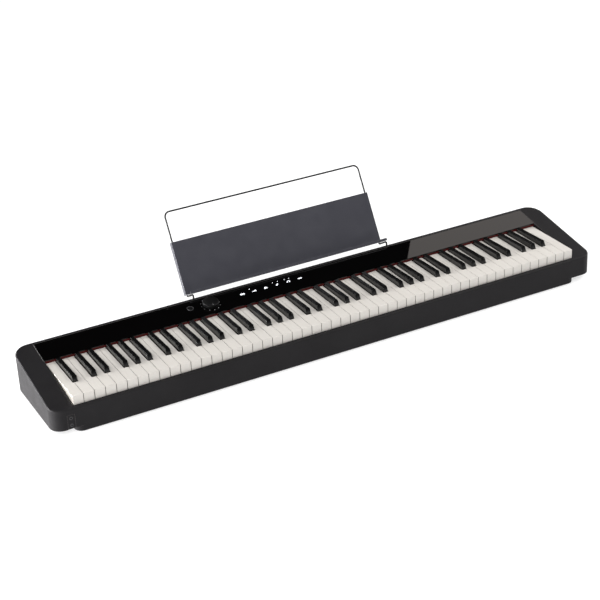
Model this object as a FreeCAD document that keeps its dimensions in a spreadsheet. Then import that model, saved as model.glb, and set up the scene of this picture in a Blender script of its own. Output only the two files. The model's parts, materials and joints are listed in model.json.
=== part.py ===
import FreeCAD, Part
import math
import os
import re

import Sketcher
from FreeCAD import Placement, Rotation, Vector

# A slim 88-key digital piano with its wire music rest.
# X runs along the keyboard with the bass at -X, Y runs back from the player, Z is up from the table.
# Parts are drawn with Y counted from the front of the case, and front_y moves them into the part's own frame.

SIZES = {
    # case
    "case_width": 1322, "case_depth": 232, "front_height": 60, "rear_height": 102, "front_y": -178.7,
    "wall": 3, "block_floor": 15, "corner_front": 26, "corner_rear": 34, "top_round": 3,
    "plinth_half": 613, "plinth_floor": 3, "plinth_corner": 18, "opening_half": 613.5, "fit_gap": 0.3,
    "ledge_depth": 9, "opening_back": 164.5, "tray_floor": 3.5, "tray_skin": 3,
    # touch panel, drawn flat in the sloping plane of the case top
    "panel_half": 615, "panel_front": 165.6, "panel_back": 226.6, "panel_thick": 2.5, "deck_thick": 3,
    "window_left": -297, "window_right": 47, "window_front": 188, "window_back": 220,
    "board_top": -5.7, "board_thick": 1.6,
    "icon_row": 202.2, "icon_first": -140.5, "icon_pitch": 28.5, "icon_wide": 12, "icon_deep": 7,
    "knob_x": -220, "knob_row": 198, "knob_radius": 18, "knob_high": 9, "stem_radius": 3,
    "power_x": -266, "power_row": 203, "power_radius": 5.5,
    # keyboard
    "keys_left": -611, "octave_left": -564, "key_pitch": 23.5, "key_gap": 0.9, "key_front": 11,
    "head_back": 61,
    "key_rear": 215.5, "key_top": 81.3, "key_under": 66, "skirt_under": 57, "key_skin": 2,
    "notch_play": 0.5, "black_front": 62.5, "black_ridge": 68, "black_end": 160.5,
    "black_top_front": 93, "black_top_back": 89.5, "black_half": 5.3, "black_ceiling": 87,
    "black_stem_half": 4.5, "black_stem_top": 80.5,
    "pivot_depth": 210, "pivot_height": 62, "pivot_radius": 2.5, "jaw_half": 4,
    "leg_front": 41, "leg_back": 50, "leg_half": 3, "leg_under": 40.6,
    # hammers
    "hammer_depth": 75, "hammer_height": 34, "shaft_radius": 2, "hammer_half": 2.5, "hammer_tip": 190,
    # key frame
    "frame_half": 605, "frame_front": 12, "frame_floor": 9.5, "frame_skin": 2.5, "rib_half": 1.5,
    "sensor_front": 122, "sensor_back": 160, "sensor_height": 55,
    "stop_front": 176, "stop_back": 204, "stop_height": 61.5, "felt_back": 192,
    # battery bay in the floor
    "bay_left": 97.5, "bay_right": 255, "bay_front": 14, "bay_back": 50, "bay_ceiling": 22.5, "bay_wall": 1.5,
    "cell_radius": 7.1, "cell_long": 50.5, "cell_height": 13.5,
    # speakers in the end blocks
    "speaker_x": 637, "speaker_depth": 152, "speaker_half": 18, "speaker_reach": 30, "wing_top": 18,
    # sockets, fixings and feet
    "phone_x": -622, "phone_high": 39, "phone_low": 23, "phone_bore": 1.8,
    "jack_bore": 3.2, "jack_height": 27, "board_front": 203, "board_left": -458, "board_right": -326,
    "rear_board": 18, "screw_radius": 1.4, "screw_head": 2.6, "insert_x": 500, "insert_front": 45,
    "insert_back": 185, "insert_bore": 2.5, "insert_outer": 4.5, "foot_radius": 10,
    # music rest
    "rest_x": 245, "leg_depth": 227.5, "wire_radius": 1.9, "socket_bore": 2.25, "socket_outer": 3,
    "socket_depth": 16, "rest_tilt": 29.7, "plate_half": 249, "plate_back": 258.6, "plate_low": 97.1,
    "plate_long": 121, "plate_thick": 1.2, "shelf_deep": 32, "lip_high": 6, "flange_deep": 11.8,
    "wire_rise": 188.8, "wire_bend": 12, "step_bend": 3, "wire_gap": 0.8,
}
SLOPE = "atan((rear_height - front_height) / case_depth)"
OCTAVE = "(key_pitch * 7)"
ICONS = 6
REAR_SCREWS = (-560, -300, -110, 110, 300, 560)
FRONT_SCREWS = (-480, -240, 0, 240, 480)
FEET = ((-580, 30), (-580, 200), (0, 30), (0, 200), (580, 30), (580, 200))
LINE_JACKS = (-445, -420, -395)
SENSOR_SLOTS = 12

doc = FreeCAD.newDocument("DigitalPiano")
sheet = doc.addObject("Spreadsheet::Sheet", "Sizes")
for row, (alias, size) in enumerate(SIZES.items(), start=1):
    sheet.set(f"A{row}", alias)
    sheet.set(f"B{row}", str(size))
    sheet.setAlias(f"B{row}", alias)
doc.recompute()
NODES = []


# ---------------------------------------------------------------- helpers
def cell(text):
    """Return a formula with its aliases read from the sheet."""
    return re.sub(r"[a-z_]{3,}", lambda word: f"Sizes.{word[0]}" if word[0] in SIZES else word[0], str(text))


def number(text):
    """Work a formula out."""
    return float(sheet.evalExpression(cell(text)))


def top(depth):
    """Height of the sloping case top at a depth from the front."""
    return f"(front_height + ({depth}) * (rear_height - front_height) / case_depth)"


def block(name, low, high):
    """A box between two corners, each given as three formulas."""
    box = doc.addObject("Part::Box", name)
    for side, axis, start, end in zip(("Length", "Width", "Height"), "xyz", low, high):
        box.setExpression(side, cell(f"({end}) - ({start})"))
        box.setExpression(f"Placement.Base.{axis}", cell(start))
    return box


TURNS = {"x": Rotation(Vector(0, 1, 0), 90), "y": Rotation(Vector(1, 0, 0), -90), "z": Rotation()}


def rod(name, along, radius, start, length):
    """A cylinder that starts at a point and runs along an axis."""
    cylinder = doc.addObject("Part::Cylinder", name)
    cylinder.Placement.Rotation = TURNS[along]
    cylinder.setExpression("Radius", cell(radius))
    cylinder.setExpression("Height", cell(length))
    for axis, place in zip("xyz", start):
        cylinder.setExpression(f"Placement.Base.{axis}", cell(place))
    return cylinder


def fuse(name, *shapes):
    """Several shapes joined in one."""
    joined = doc.addObject("Part::MultiFuse", name)
    joined.Shapes = list(shapes)
    return joined


def cut(name, base, *tools):
    """A shape less one or more tools."""
    result = doc.addObject("Part::Cut", name)
    result.Base = base
    result.Tool = tools[0] if len(tools) == 1 else fuse(f"{name}_tools", *tools)
    return result


def group(name, *shapes):
    """Separate solids kept together as one sub-part."""
    compound = doc.addObject("Part::Compound", name)
    compound.Links = list(shapes)
    return compound


def copy_along(template, name, place_x):
    """A linked copy of a template at another place along the keyboard."""
    link = doc.addObject("App::Link", name)
    link.LinkedObject = template
    link.setExpression("Placement.Base.x", cell(place_x))
    return link


def new_body(name):
    return doc.addObject("PartDesign::Body", name)


def sketch(body, plane, outline, level):
    """A closed polygon on one of the body's origin planes, every corner bound to the sheet."""
    drawing = body.newObject("Sketcher::SketchObject", f"{body.Name}_sketch")
    support = [item for item in body.Origin.OriginFeatures if item.Role == f"{plane}_Plane"]
    drawing.AttachmentSupport = [(support[0], "")]
    drawing.MapMode = "FlatFace"
    side = "-" if plane == "XZ" else ""
    drawing.setExpression("AttachmentOffset.Base.z", cell(f"{side}({level})"))
    corners = [(number(across), number(up)) for across, up in outline]
    for here, there in zip(corners, corners[1:] + corners[:1]):
        drawing.addGeometry(Part.LineSegment(Vector(*here, 0), Vector(*there, 0)))
    for index in range(len(corners)):
        following = (index + 1) % len(corners)
        drawing.addConstraint(Sketcher.Constraint("Coincident", index, 2, following, 1))
    for index, formulas in enumerate(outline):
        for kind, formula, size in zip(("DistanceX", "DistanceY"), formulas, corners[index]):
            placed = drawing.addConstraint(Sketcher.Constraint(kind, -1, 1, index, 1, size))
            drawing.setExpression(f"Constraints[{placed}]", cell(formula))
    return drawing


def pad(body, plane, outline, low, high):
    """Add an outline as a prism from one level to another along the plane's axis."""
    feature = body.newObject("PartDesign::Pad", f"{body.Name}_pad")
    feature.Profile = sketch(body, plane, outline, high if plane == "XZ" else low)
    feature.setExpression("Length", cell(f"({high}) - ({low})"))
    return feature


def pocket(body, plane, outline, low, high):
    """Remove an outline's prism from one level to another, and check that it really cuts."""
    before = body.Tip
    feature = body.newObject("PartDesign::Pocket", f"{body.Name}_pocket")
    feature.Profile = sketch(body, plane, outline, low if plane == "XZ" else high)
    feature.setExpression("Length", cell(f"({high}) - ({low})"))
    doc.recompute()
    if feature.Shape.Volume >= before.Shape.Volume:
        raise RuntimeError(f"{feature.Name} cuts nothing")
    return feature


def dress(body, kind, size, chosen):
    """Fillet or chamfer the edges of the body's tip that pass a test."""
    doc.recompute()
    base = body.Tip
    names = [f"Edge{index}" for index, edge in enumerate(base.Shape.Edges, start=1) if chosen(edge)]
    feature = body.newObject(f"PartDesign::{kind}", f"{body.Name}_{kind.lower()}")
    feature.Base = (base, names)
    feature.setExpression("Radius" if kind == "Fillet" else "Size", cell(size))
    return feature


def rectangle(left, right, low, high):
    return [(left, low), (right, low), (right, high), (left, high)]


def upright_at(depth_test):
    """Pick vertical edges by their depth."""
    def chosen(edge):
        box = edge.BoundBox
        return box.XLength < 0.01 and box.YLength < 0.01 and depth_test(box.YMin)
    return chosen


def keep(label, shape, in_panel=False, place_x=None):
    """Name a finished sub-part and move it into the part's frame, or into the sloping panel's plane."""
    if shape.TypeId in ("Part::Box", "Part::Cylinder"):
        shape = group(f"{label}_piece", shape)
    shape.Label = label
    if in_panel:
        shape.Placement = Placement(Vector(), Rotation(Vector(1, 0, 0), 1))
        shape.setExpression("Placement.Rotation.Angle", cell(SLOPE))
        shape.setExpression("Placement.Base.z", cell("front_height"))
    shape.setExpression("Placement.Base.y", cell("front_y"))
    if place_x is not None:
        shape.setExpression("Placement.Base.x", cell(place_x))
    NODES.append(shape)
    return shape


# ---------------------------------------------------------------- case
def rounded_block(name, half, front, back, low, high, front_corner, rear_corner):
    """An upright block with rounded vertical corners."""
    body = new_body(name)
    pad(body, "XY", rectangle(f"-({half})", half, front, back), low, high)
    middle = number(f"(({front}) + ({back})) / 2")
    dress(body, "Fillet", front_corner, upright_at(lambda depth: depth < middle))
    dress(body, "Fillet", rear_corner, upright_at(lambda depth: depth > middle))
    return body


def wedge(name, inset, floor):
    """The case's outline, inset all round, under its sloping top."""
    half = f"case_width / 2 - {inset}"
    body = rounded_block(name, half, inset, f"case_depth - {inset}", floor, "rear_height + 1",
                         f"corner_front - {inset}", f"corner_rear - {inset}")
    above = [("-1", f"{top(-1)} - {inset}"), ("case_depth + 1", f"{top('case_depth + 1')} - {inset}"),
             ("case_depth + 1", "rear_height + 9"), ("-1", "rear_height + 9")]
    pocket(body, "YZ", above, "-case_width", "case_width")
    return body


def side_wall(name, left, right):
    """An inner wall between the keys and an end block."""
    body = new_body(name)
    outline = [("wall - 1", "wing_top"), ("case_depth - wall + 1", "wing_top"),
               ("case_depth - wall + 1", f"{top('case_depth - wall + 1')} - 1"),
               ("wall - 1", f"{top('wall - 1')} - 1")]
    pad(body, "YZ", outline, left, right)
    return body


def case_boss(name, place_x, depth, floor, radius):
    """A screw boss that hangs from the case top, with its pilot hole."""
    hole = rod(f"{name}_hole", "z", "screw_radius + 0.1", (place_x, depth, f"{floor} - 1"), 14)
    post = rod(name, "z", radius, (place_x, depth, floor), f"{top(f'{depth} - {radius}')} - 0.5 - {floor}")
    return post, hole


def tray_top():
    return "(tray_floor + tray_skin)"


def boss_places():
    """Each case screw: its place, the floor that it starts from and its boss radius."""
    places = [(place_x, 223, tray_top(), 4.5) for place_x in REAR_SCREWS]
    places += [(place_x, 5.7, tray_top(), 3) for place_x in FRONT_SCREWS]
    for side in (-1, 1):
        places += [(640 * side, 40, "wing_top", 5), (628 * side, 215, "wing_top", 5)]
    return places


def upper_case():
    outside = wedge("case_outside", "0", "block_floor")
    slope = number("(rear_height - front_height) / case_depth")

    def on_top(edge):
        return all(abs(spot.Point.z - SIZES["front_height"] - slope * spot.Point.y) < 0.01
                   for spot in edge.Vertexes)

    dress(outside, "Fillet", "top_round", on_top)
    inside = wedge("case_inside", "wall", "block_floor - 1")
    plinth = rounded_block("plinth_outside", "plinth_half", "0", "case_depth", "plinth_floor",
                           "block_floor + 1",
                           "plinth_corner", "plinth_corner")
    plinth_hollow = rounded_block("plinth_inside", "plinth_half - wall", "wall", "case_depth - wall",
                                  "plinth_floor - 1", "block_floor + 2", "plinth_corner - wall",
                                  "plinth_corner - wall")
    hollow = cut("hollow_case", fuse("outer_case", outside, plinth), inside, plinth_hollow)

    # the deck under the touch panel follows the slope of the top
    deck = new_body("case_deck")
    pad(deck, "YZ", [("opening_back", f"{top('opening_back')} - panel_thick - deck_thick"),
                     ("case_depth - 2", f"{top('case_depth - 2')} - panel_thick - deck_thick"),
                     ("case_depth - 2", f"{top('case_depth - 2')} - 1"),
                     ("opening_back", f"{top('opening_back')} - 1")], "-opening_half - 2", "opening_half + 2")
    walls = [side_wall("left_side_wall", "-opening_half - wall", "-opening_half"),
             side_wall("right_side_wall", "opening_half", "opening_half + wall")]
    posts, pilots = zip(*[case_boss(f"boss_{index}", *place) for index, place in enumerate(boss_places())])
    body = fuse("case_with_bosses", hollow, deck, *walls, *posts)

    holes = list(pilots)
    holes.append(block("key_opening", ("-opening_half", "ledge_depth", 45),
                       ("opening_half", "opening_back", "rear_height")))
    recess = new_body("panel_recess")
    back = f"(panel_back * cos({SLOPE}) + 0.8)"
    pad(recess, "YZ", [("opening_back - 3", f"{top('opening_back - 3')} - panel_thick - 0.1"),
                       (back, f"{top(back)} - panel_thick - 0.1"), (back, "rear_height + 5"),
                       ("opening_back - 3", "rear_height + 5")], "-panel_half - fit_gap",
                       "panel_half + fit_gap")
    holes.append(recess)
    holes.append(block("board_window", ("window_left", 185, 70), ("window_right", 217, "rear_height")))
    for side in (-1, 1):
        holes.append(rod(f"rest_hole_{side + 1}", "z", "socket_outer + 0.05",
                         (f"rest_x * {side}", "leg_depth", "rear_height - socket_depth - 1"),
                         "socket_depth + 5"))
    holes.append(block("phone_recess", ("phone_x - 8", -1, 14.5), ("phone_x + 8", 0.8, 47)))
    for level in ("phone_high", "phone_low"):
        holes.append(rod(f"{level}_hole", "y", 3.4, ("phone_x", -1, level), "wall + 2"))
    for index, place_x in enumerate(LINE_JACKS):
        holes.append(rod(f"line_hole_{index}", "y", 5.8, (place_x, "case_depth - wall - 1", "jack_height"),
                         6))
    holes.append(block("power_inlet_hole", (-371, "case_depth - 4", 19.3), (-359, "case_depth + 1", 32.5)))
    holes.append(block("data_socket_hole", (-346.5, "case_depth - 4", 19.3),
                       (-333.5, "case_depth + 1", 32.5)))
    return cut("case_upper", body, *holes)


def lower_case():
    """A stepped tray that closes the underside, with the battery bay, stand-offs and speaker slots."""
    edge = "(wall + fit_gap)"
    back = f"case_depth - {edge}"
    half = f"plinth_half - {edge}"
    corner = f"plinth_corner - {edge}"
    plate = rounded_block("tray_plate", half, edge, back, "tray_floor", "wing_top", corner, corner)
    sink = rounded_block("tray_sink", f"{half} - tray_skin", f"{edge} - 2", f"{back} + 2", tray_top(),
                         "wing_top + 1",
                         1, 1)
    tray = cut("tray", plate, sink)
    wings = rounded_block("wing_plate", f"case_width / 2 - {edge}", edge, back, "block_floor + fit_gap",
                          "wing_top",
                          f"corner_front - {edge}", f"corner_rear - {edge}")
    between = block("between_wings", (f"-({half}) + 2", 0, 0), (f"{half} - 2", "case_depth", "rear_height"))
    solids = [tray, cut("wings", wings, between)]
    solids.append(block("bay_shell", ("bay_left", "bay_front", "tray_floor"),
                        ("bay_right", "bay_back", "bay_ceiling")))
    for index, (place_x, depth) in enumerate([(-300, 60), (0, 60), (300, 60), (-300, 180), (0, 180),
                                              (300, 180)]):
        solids.append(rod(f"stand_off_{index}", "z", 6, (place_x, depth, "tray_floor + 1"),
                          "frame_floor - tray_floor - 1"))
    for index, place in enumerate(insert_places()):
        solids.append(rod(f"insert_boss_{index}", "z", 7, (*place, "tray_floor + 1"),
                          "frame_floor - tray_floor - 1.3"))
    for index, place_x in enumerate(("board_left + 6", "board_right - 6")):
        solids.append(rod(f"board_post_{index}", "z", 4, (place_x, 215, "tray_floor + 1"),
                          "rear_board - tray_floor - 1"))
    holes = [block("bay_space", ("bay_left + bay_wall", "bay_front + bay_wall", 0),
                   ("bay_right - bay_wall", "bay_back - bay_wall", "bay_ceiling - bay_wall"))]
    for index, place in enumerate(insert_places()):
        holes.append(rod(f"insert_hole_{index}", "z", "insert_outer + 0.05", (*place, 0), 20))
    for index, (place_x, depth, floor, _) in enumerate(boss_places()):
        holes.append(rod(f"screw_hole_{index}", "z", "screw_radius + 0.3", (place_x, depth, 0), 30))
        holes.append(rod(f"screw_sink_{index}", "z", "screw_head + 0.3", (place_x, depth, 0),
                         f"{floor} - 1.4"))
    for side in (-1, 1):
        for slot in range(14):
            start = f"speaker_depth - 41 + {6 * slot}"
            holes.append(block(f"speaker_slot_{side + 1}_{slot}", (f"speaker_x * {side} - 13", start, 0),
                               (f"speaker_x * {side} + 13", f"{start} + 2.6", 30)))
    return cut("case_lower", fuse("tray_solids", *solids), *holes)


def insert_places():
    return [(f"insert_x * {side}", depth) for side in (-1, 1) for depth in ("insert_front", "insert_back")]


def case_screws():
    """One screw as a head and a shank, copied to every boss."""
    screws = []
    for index, (place_x, depth, floor, _) in enumerate(boss_places()):
        head = rod(f"screw_head_{index}", "z", "screw_head", (place_x, depth, f"{floor} - 2.9"), 1.5)
        shank = rod(f"screw_shank_{index}", "z", "screw_radius", (place_x, depth, f"{floor} - 2"), 12)
        screws.append(fuse(f"screw_{index}", head, shank))
    return group("screws", *screws)


def stand_inserts():
    inserts = []
    for index, place in enumerate(insert_places()):
        bush = rod(f"insert_{index}", "z", "insert_outer", (*place, "tray_floor"),
                   "frame_floor - tray_floor - 0.3")
        bore = rod(f"insert_bore_{index}", "z", "insert_bore", (*place, 0), 20)
        inserts.append(cut(f"bush_{index}", bush, bore))
    return group("inserts", *inserts)


keep("upper_case", upper_case())
keep("lower_case", lower_case())
keep("case_screws", case_screws())
keep("stand_inserts", stand_inserts())
keep("feet", group("rubber_feet", *[rod(f"foot_{index}", "z", "foot_radius", (*place, 0), "tray_floor")
                                    for index, place in enumerate(FEET)]))


# ---------------------------------------------------------------- battery bay
def batteries():
    cells = []
    for line in (24.25, 39.75):
        for index in range(3):
            start = f"(bay_left + bay_right - 3 * cell_long - 0.4) / 2 + {index} * (cell_long + 0.2)"
            can = rod(f"can_{line:.0f}_{index}", "x", "cell_radius", (start, line, "cell_height"),
                      "cell_long - 1.5")
            cap = rod(f"cap_{line:.0f}_{index}", "x", 2.7, (start, line, "cell_height"), "cell_long")
            cells.append(fuse(f"cell_{line:.0f}_{index}", can, cap))
    return group("cells", *cells)


def battery_contacts():
    strips = []
    for name, start in (("left", "bay_left + bay_wall + 0.1"), ("right", "bay_right - bay_wall - 0.8")):
        strips.append(block(f"contact_{name}", (start, "bay_front + 3", 8),
                            (f"{start} + 0.7", "bay_back - 3", 19)))
    return group("contacts", *strips)


keep("batteries", batteries())
keep("battery_contacts", battery_contacts())
keep("battery_cover", fuse(
    "bay_cover",
    block("cover_plate", ("bay_left + bay_wall + fit_gap", "bay_front + bay_wall + fit_gap", "tray_floor"),
          ("bay_right - bay_wall - fit_gap", "bay_back - bay_wall - fit_gap", "tray_floor + 1.8")),
    block("cover_rib", ("bay_left + 12", 30.8, "tray_floor + 1"),
          ("bay_right - 12", 33.2, "tray_floor + 3"))))


# ---------------------------------------------------------------- touch panel and its controls
# These are drawn flat: Y runs up the slope from the case's front edge and Z is the height above the panel.
def touch_panel():
    plate = block("panel_plate", ("-panel_half", "panel_front", "-panel_thick"),
                  ("panel_half", "panel_back", 0))
    holes = [rod("knob_hole", "z", "stem_radius + 0.5", ("knob_x", "knob_row", -9), 20),
             rod("power_hole", "z", "power_radius + fit_gap", ("power_x", "power_row", -9), 20)]
    holes += [icon_window(f"icon_hole_{index}", index, -9, 9) for index in range(ICONS)]
    return cut("panel", plate, *holes)


def icon_window(name, index, low, high):
    """The space of one lit icon."""
    middle = f"icon_first + {index} * icon_pitch"
    return block(name, (f"{middle} - icon_wide / 2", "icon_row - icon_deep / 2", low),
                 (f"{middle} + icon_wide / 2", "icon_row + icon_deep / 2", high))


def volume_knob():
    """A round cap over a stem that reaches through the panel into its sensor."""
    disc = rod("knob_disc", "z", "knob_radius", ("knob_x", "knob_row", 0.5), "knob_high - 0.5")
    stem = rod("knob_stem", "z", "stem_radius", ("knob_x", "knob_row", "board_top - board_thick - 3"),
               "board_thick + 4 - board_top")
    rounded = doc.addObject("Part::Fillet", "knob_rounded")
    rounded.Base = fuse("knob_solid", disc, stem)
    doc.recompute()
    edges = rounded.Base.Shape.Edges
    high = SIZES["knob_high"]
    rounded.Edges = [(index, 1.6, 1.6) for index, edge in enumerate(edges, start=1)
                     if abs(edge.BoundBox.ZMin - high) < 0.01 and edge.BoundBox.ZLength < 0.01]
    return rounded


def power_button():
    return fuse("power_cap", rod("power_disc", "z", "power_radius", ("power_x", "power_row", -1), 1.8),
                rod("power_stem", "z", 2, ("power_x", "power_row", -2.3), 1.4))


def touch_board():
    board = block("board_plate", ("window_left + 1", "window_front + 1.5", "board_top - board_thick"),
                  ("window_right - 1", "window_back - 2", "board_top"))
    return cut("board", board, rod("board_hole", "z", "stem_radius + 0.5", ("knob_x", "knob_row", -20), 30))


def volume_pot():
    body = block("pot_body", ("knob_x - 7", "knob_row - 7", "board_top - board_thick - 4"),
                 ("knob_x + 7", "knob_row + 7", "board_top - board_thick"))
    return cut("pot", body, rod("pot_bore", "z", "stem_radius + 0.06",
                                ("knob_x", "knob_row", "board_top - board_thick - 3.5"), 10))


keep("touch_panel", touch_panel(), in_panel=True)
keep("touch_icons", group("icons", *[icon_window(f"icon_{index}", index, "-panel_thick", 0)
                                     for index in range(ICONS)]), in_panel=True)
keep("volume_knob", volume_knob(), in_panel=True)
keep("power_button", power_button(), in_panel=True)
keep("touch_board", touch_board(), in_panel=True)
keep("volume_pot", volume_pot(), in_panel=True)
keep("power_switch", fuse(
    "switch", block("switch_body", ("power_x - 3", "power_row - 3", "board_top"),
                    ("power_x + 3", "power_row + 3", "board_top + 1.6")),
    rod("switch_plunger", "z", 1.2, ("power_x", "power_row", "board_top + 1"), 1)), in_panel=True)
keep("key_felt", block("felt_strip", ("-opening_half + 1", "opening_back - 1.2", "key_top + 0.6"),
                       ("opening_half - 1", "opening_back", f"{top('opening_back - 1.2')} - 2.7")))


# ---------------------------------------------------------------- keys
# One octave is drawn, with X counted from its left edge, and the other octaves are linked copies of it.
# Twelve equal slots of the octave carry the key stems, five wide ones up to E and seven narrow ones from F.
NATURALS = "cdefgab"
PITCHES = ("c", "c_sharp", "d", "d_sharp", "e", "f", "f_sharp", "g", "g_sharp", "a", "a_sharp", "b")
NAMED_OCTAVE = 4


def slot_edge(index):
    """The left edge of a semitone's slot, counted from the octave's left edge."""
    if index <= 5:
        return f"(key_pitch * 3 / 5 * {index})"
    return f"(key_pitch * 3 + key_pitch * 4 / 7 * {index - 5})"


def slot_middle(index):
    return f"(({slot_edge(index)} + {slot_edge(index + 1)}) / 2)"


def octave_start(octave):
    return f"(octave_left + {OCTAVE} * {octave - 1})"


def working_parts(body, middle, leg, ceiling):
    """What every key carries underneath: an actuating leg, a sensor rib and a jaw over the pivot rod."""
    pad(body, "XY", leg, "leg_under", "key_top - key_skin + 0.5")
    pad(body, "XY", rectangle(f"{middle} - leg_half", f"{middle} + leg_half", 138, 144), "key_under",
        f"{ceiling} + 0.5")
    pad(body, "XY", rectangle(f"{middle} - jaw_half", f"{middle} + jaw_half", 205, "key_rear"),
        "pivot_height - 5",
        "key_top - key_skin")
    slot = rectangle("pivot_depth - pivot_radius - fit_gap", "pivot_depth + pivot_radius + fit_gap",
                     "pivot_height - 6", "pivot_height + pivot_radius + fit_gap")
    pocket(body, "YZ", slot, f"{middle} - 8", f"{middle} + 8")


def white_key(pitch, name, stem_left=None, stem_right=None):
    """A hollow white key: a wide head with a skirt, and a stem between the black keys."""
    natural = NATURALS.index(pitch)
    index = PITCHES.index(pitch)
    left = f"(key_pitch * {natural} + key_gap / 2)"
    right = f"(key_pitch * {natural + 1} - key_gap / 2)"
    stem_left = stem_left or (left if pitch in "cf" else f"({slot_edge(index)} - notch_play)")
    stem_right = stem_right or (right if pitch in "eb" else f"({slot_edge(index + 1)} + notch_play)")
    body = new_body(name)
    pad(body, "XY", rectangle(left, right, "key_front", "head_back"), "skirt_under", "key_top")
    pad(body, "XY", rectangle(stem_left, stem_right, "head_back - 1", "key_rear"), "key_under", "key_top")
    pocket(body, "XY", rectangle(f"{left} + key_skin", f"{right} - key_skin", "key_front + key_skin",
                                 "head_back - key_skin"), "skirt_under - 1", "key_top - key_skin")
    pocket(body, "XY", rectangle(f"{stem_left} + key_skin", f"{stem_right} - key_skin",
                                 "head_back + key_skin", 203),
           "key_under - 1", "key_top - key_skin")
    middle = slot_middle(index)
    leg = rectangle(f"{middle} - leg_half", f"{middle} + leg_half", "leg_front", "leg_back")
    working_parts(body, middle, leg, "(key_top - key_skin)")
    return body


def black_key(pitch, name):
    """A hollow black key: a raised finger with a chamfered front, on a lower stem with a forward foot."""
    middle = slot_middle(PITCHES.index(pitch))
    body = new_body(name)
    finger = [("black_front", "key_under"), ("black_end", "key_under"), ("black_end", "black_top_back"),
              ("black_ridge", "black_top_front"), ("black_front", "key_top + 1")]
    pad(body, "YZ", finger, f"{middle} - black_half", f"{middle} + black_half")

    def long_top(edge):
        return edge.BoundBox.YLength > 80 and edge.BoundBox.ZMin > SIZES["key_top"]

    dress(body, "Chamfer", 1.2, long_top)
    pad(body, "XY", rectangle(f"{middle} - black_stem_half", f"{middle} + black_stem_half", "black_end - 1",
                              "key_rear"),
        "key_under", "black_stem_top")
    pocket(body, "XY", rectangle(f"{middle} - 3.4", f"{middle} + 3.4", "black_ridge", 157), "key_under - 1",
           "black_ceiling")
    pad(body, "XY", rectangle(f"{middle} - leg_half", f"{middle} + leg_half", "leg_front", 66), "leg_under",
        "leg_under + 5")
    leg = rectangle(f"{middle} - leg_half", f"{middle} + leg_half", "black_front", 66)
    working_parts(body, middle, leg, "black_ceiling")
    return body


def key_label(pitch, octave):
    return f"key_{pitch[0]}{octave}{pitch[1:]}"


def keyboard():
    """Twelve named keys of the middle octave, and the rest as two groups of linked copies."""
    others = {"white": [], "black": []}
    for pitch in PITCHES:
        colour = "black" if "sharp" in pitch else "white"
        make = black_key if colour == "black" else white_key
        label = key_label(pitch, NAMED_OCTAVE)
        template = make(pitch, f"{label}_body")
        keep(label, template, place_x=octave_start(NAMED_OCTAVE))
        octaves = [octave for octave in range(1, 8) if octave != NAMED_OCTAVE]
        if pitch in ("a_sharp", "b"):
            octaves.append(0)
        for octave in octaves:
            others[colour].append(copy_along(template, f"{label}_copy_{octave}", octave_start(octave)))
    lowest = white_key("a", "lowest_key", stem_left="(key_pitch * 5 + key_gap / 2)")
    highest = white_key("c", "highest_key", stem_right="(key_pitch - key_gap / 2)")
    others["white"].append(copy_along(lowest, "key_a0", octave_start(0)))
    others["white"].append(copy_along(highest, "key_c8", octave_start(8)))
    keep("other_white_keys", group("white_group", *others["white"]))
    keep("other_black_keys", group("black_group", *others["black"]))


keyboard()


# ---------------------------------------------------------------- hammers
def hammer(name):
    """A weighted arm, clipped over its shaft, with a short finger under the key's leg."""
    body = new_body(name)
    outline = [(44, 31), (69, 28), (81, 30), ("hammer_tip - 26", 20.5), ("hammer_tip - 22", 16),
               ("hammer_tip", 16),
               ("hammer_tip", 26), ("hammer_tip - 26", 26), (81, 36.5), (79, 41), (71, 41), (68, 34),
               (49, 35),
               (47, 40), (44, 40)]
    pad(body, "YZ", outline, "-hammer_half", "hammer_half")
    slot = rectangle("hammer_depth - shaft_radius - fit_gap", "hammer_depth + shaft_radius + fit_gap", 20,
                     "hammer_height + shaft_radius + fit_gap")
    pocket(body, "YZ", slot, "-hammer_half - 1", "hammer_half + 1")
    return body


def hammers():
    """A hammer for every key: twelve named ones and two groups."""
    others = {"white": [], "black": []}
    template = None
    for index, pitch in enumerate(PITCHES):
        label = key_label(pitch, NAMED_OCTAVE).replace("key", "hammer")
        named = hammer(f"{label}_body")
        template = template or named
        keep(label, named, place_x=f"{octave_start(NAMED_OCTAVE)} + {slot_middle(index)}")
        colour = "black" if "sharp" in pitch else "white"
        octaves = [octave for octave in range(9) if octave != NAMED_OCTAVE]
        octaves = [octave for octave in octaves if octave > 0 or pitch in ("a", "a_sharp", "b")]
        octaves = [octave for octave in octaves if octave < 8 or pitch == "c"]
        for octave in octaves:
            place = f"{octave_start(octave)} + {slot_middle(index)}"
            others[colour].append(copy_along(template, f"{label}_copy_{octave}", place))
    keep("other_white_hammers", group("white_hammer_group", *others["white"]))
    keep("other_black_hammers", group("black_hammer_group", *others["black"]))


hammers()


# ---------------------------------------------------------------- key frame and sensors
def rib(name, place_x):
    """An upright rib with a bracket that carries the pivot rod."""
    body = new_body(name)
    outline = [("frame_front", "frame_floor + 1"), ("stop_back - 4", "frame_floor + 1"),
               ("stop_back + 2", 46),
               (217, 50), (217, "key_under - 0.8"), ("stop_back", "key_under - 0.8"),
               ("stop_back", "stop_height + 1"),
               ("stop_front", "stop_height + 1"), ("stop_front - 6", "sensor_height"),
               ("sensor_front - 4", "sensor_height"), ("sensor_front - 14", 46), ("frame_front", 44)]
    pad(body, "YZ", outline, f"{place_x} - rib_half", f"{place_x} + rib_half")
    return body


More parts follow.
